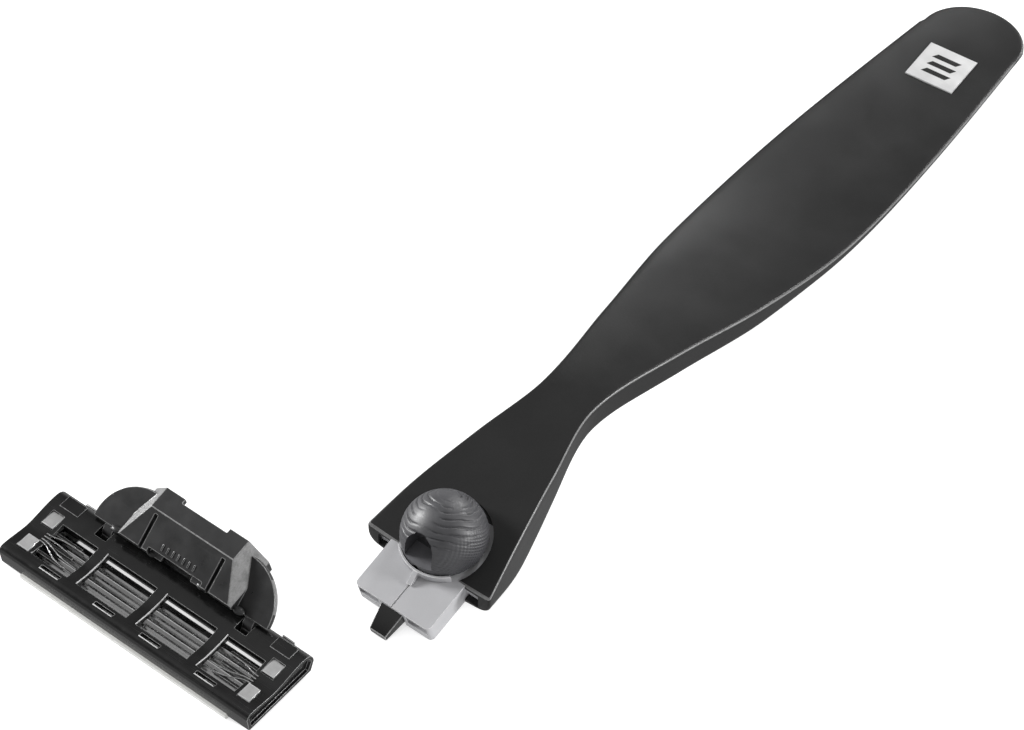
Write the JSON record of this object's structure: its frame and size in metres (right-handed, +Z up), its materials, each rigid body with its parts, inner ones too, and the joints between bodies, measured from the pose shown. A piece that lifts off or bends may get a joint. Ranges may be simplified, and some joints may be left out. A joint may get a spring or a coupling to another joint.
{
  "type": "cartridge razor",
  "caption": "Safety razor with a slim waisted handle, ball thumb button and sprung docking head, with its pivoting blade cartridge unclipped beside it.",
  "frame": {"origin": "middle of the laid-out razor's footprint, on the table", "axes": "+Y along the handle from the docking head to its far end, +X to the side away from the cartridge, +Z up"},
  "size_m": [0.057, 0.1668, 0.0139],
  "materials": {
    "handle_black": "fine matt black coating",
    "label_silver": "satin plate, blank",
    "connector_grey": "satin silver-grey moulding",
    "button_grey": "dark grey grip, fine grooves",
    "plunger_black": "glossy black",
    "spring_steel": "drawn wire",
    "yoke_black": "satin dark grey moulding",
    "housing_black": "glossy black moulding",
    "blade_steel": "honed and coated strip",
    "support_steel": "bent strip",
    "clip_aluminium": "bright strip",
    "guard_rubber": "soft black fins",
    "lube_pale": "waxy pale strip"
  },
  "bodies": {
    "handle": {"handle_body": "handle_black", "label_plate": "label_silver", "connector": "connector_grey"},
    "button": {"thumb_button": "button_grey", "ejector_fork": "connector_grey", "button_spring": "spring_steel"},
    "plunger": {"plunger": "plunger_black", "plunger_spring": "spring_steel"},
    "yoke": {"yoke": "yoke_black"},
    "blade_unit": {"blade_housing": "housing_black", "clip_left": "clip_aluminium", "clip_right": "clip_aluminium", "rubber_guard": "guard_rubber", "lubricating_strip": "lube_pale"},
    "blade_pack_1": {"blade_1": "blade_steel", "blade_support_1": "support_steel"},
    "blade_pack_2": {"blade_2": "blade_steel", "blade_support_2": "support_steel"},
    "blade_pack_3": {"blade_3": "blade_steel", "blade_support_3": "support_steel"}
  },
  "joints": [
    {"name": "button_slide", "type": "slide", "parent": "handle", "child": "button", "axis": [0, -0.9751, -0.2215], "range_m": [0, 0.004], "stiffness_N_per_m": 250, "springref_m": -0.002, "deforming": ["button_spring"]},
    {"name": "plunger_slide", "type": "slide", "parent": "handle", "child": "plunger", "axis": [0, -0.9751, -0.2215], "range_m": [-0.0025, 0], "stiffness_N_per_m": 300, "springref_m": 0.002, "deforming": ["plunger_spring"]},
    {"name": "cartridge_slide", "type": "slide", "parent": "handle", "child": "yoke", "axis": [1, 0, 0], "range_m": [0, 0.0247]},
    {"name": "head_pivot", "type": "hinge", "parent": "yoke", "child": "blade_unit", "pos_m": [-0.0069, -0.07225, 0.0021], "axis": [-1, 0, 0], "range_deg": [0, 41]},
    {"name": "blade_1_slide", "type": "slide", "parent": "blade_unit", "child": "blade_pack_1", "axis": [0, 0, 1], "range_m": [0, 0.00025], "stiffness_N_per_m": 1500, "springref_m": -0.0001},
    {"name": "blade_2_slide", "type": "slide", "parent": "blade_unit", "child": "blade_pack_2", "axis": [0, 0, 1], "range_m": [0, 0.00025], "stiffness_N_per_m": 1500, "springref_m": -0.0001},
    {"name": "blade_3_slide", "type": "slide", "parent": "blade_unit", "child": "blade_pack_3", "axis": [0, 0, 1], "range_m": [0, 0.00025], "stiffness_N_per_m": 1500, "springref_m": -0.0001}
  ]
}
